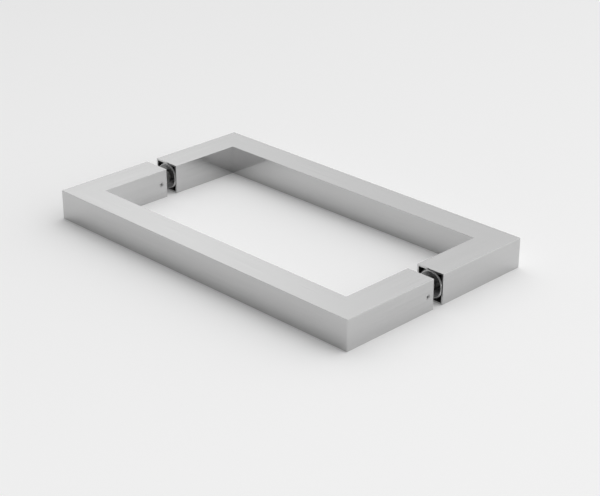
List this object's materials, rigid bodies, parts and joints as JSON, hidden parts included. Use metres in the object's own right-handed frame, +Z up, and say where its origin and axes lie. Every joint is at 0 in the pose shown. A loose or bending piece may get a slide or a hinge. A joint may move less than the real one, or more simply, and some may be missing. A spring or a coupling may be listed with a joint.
{
  "type": "back-to-back glass door pull",
  "caption": "Back-to-back square-tube pull for a glass door: U-shaped pulls with mitred corners on either side, joined through the glass by studs and locked by set screws.",
  "frame": {"origin": "in the middle of the glass, midway between the two studs", "axes": "+X along the grips, +Y through the glass from the inside pull to the outside pull, +Z up as the set lies on its side"},
  "size_m": [0.244, 0.145, 0.019],
  "materials": {
    "tube": "satin brushed",
    "turned": "bright turned",
    "screw": "plain stainless"
  },
  "bodies": {
    "root": {"inside_pull": "tube", "outside_pull": "tube", "threaded_insert_left": "turned", "threaded_insert_right": "turned", "mounting_post_left": "turned", "mounting_post_right": "turned", "through_stud_left": "turned", "through_stud_right": "turned", "set_screw_left": "screw", "set_screw_right": "screw"}
  },
  "joints": []
}
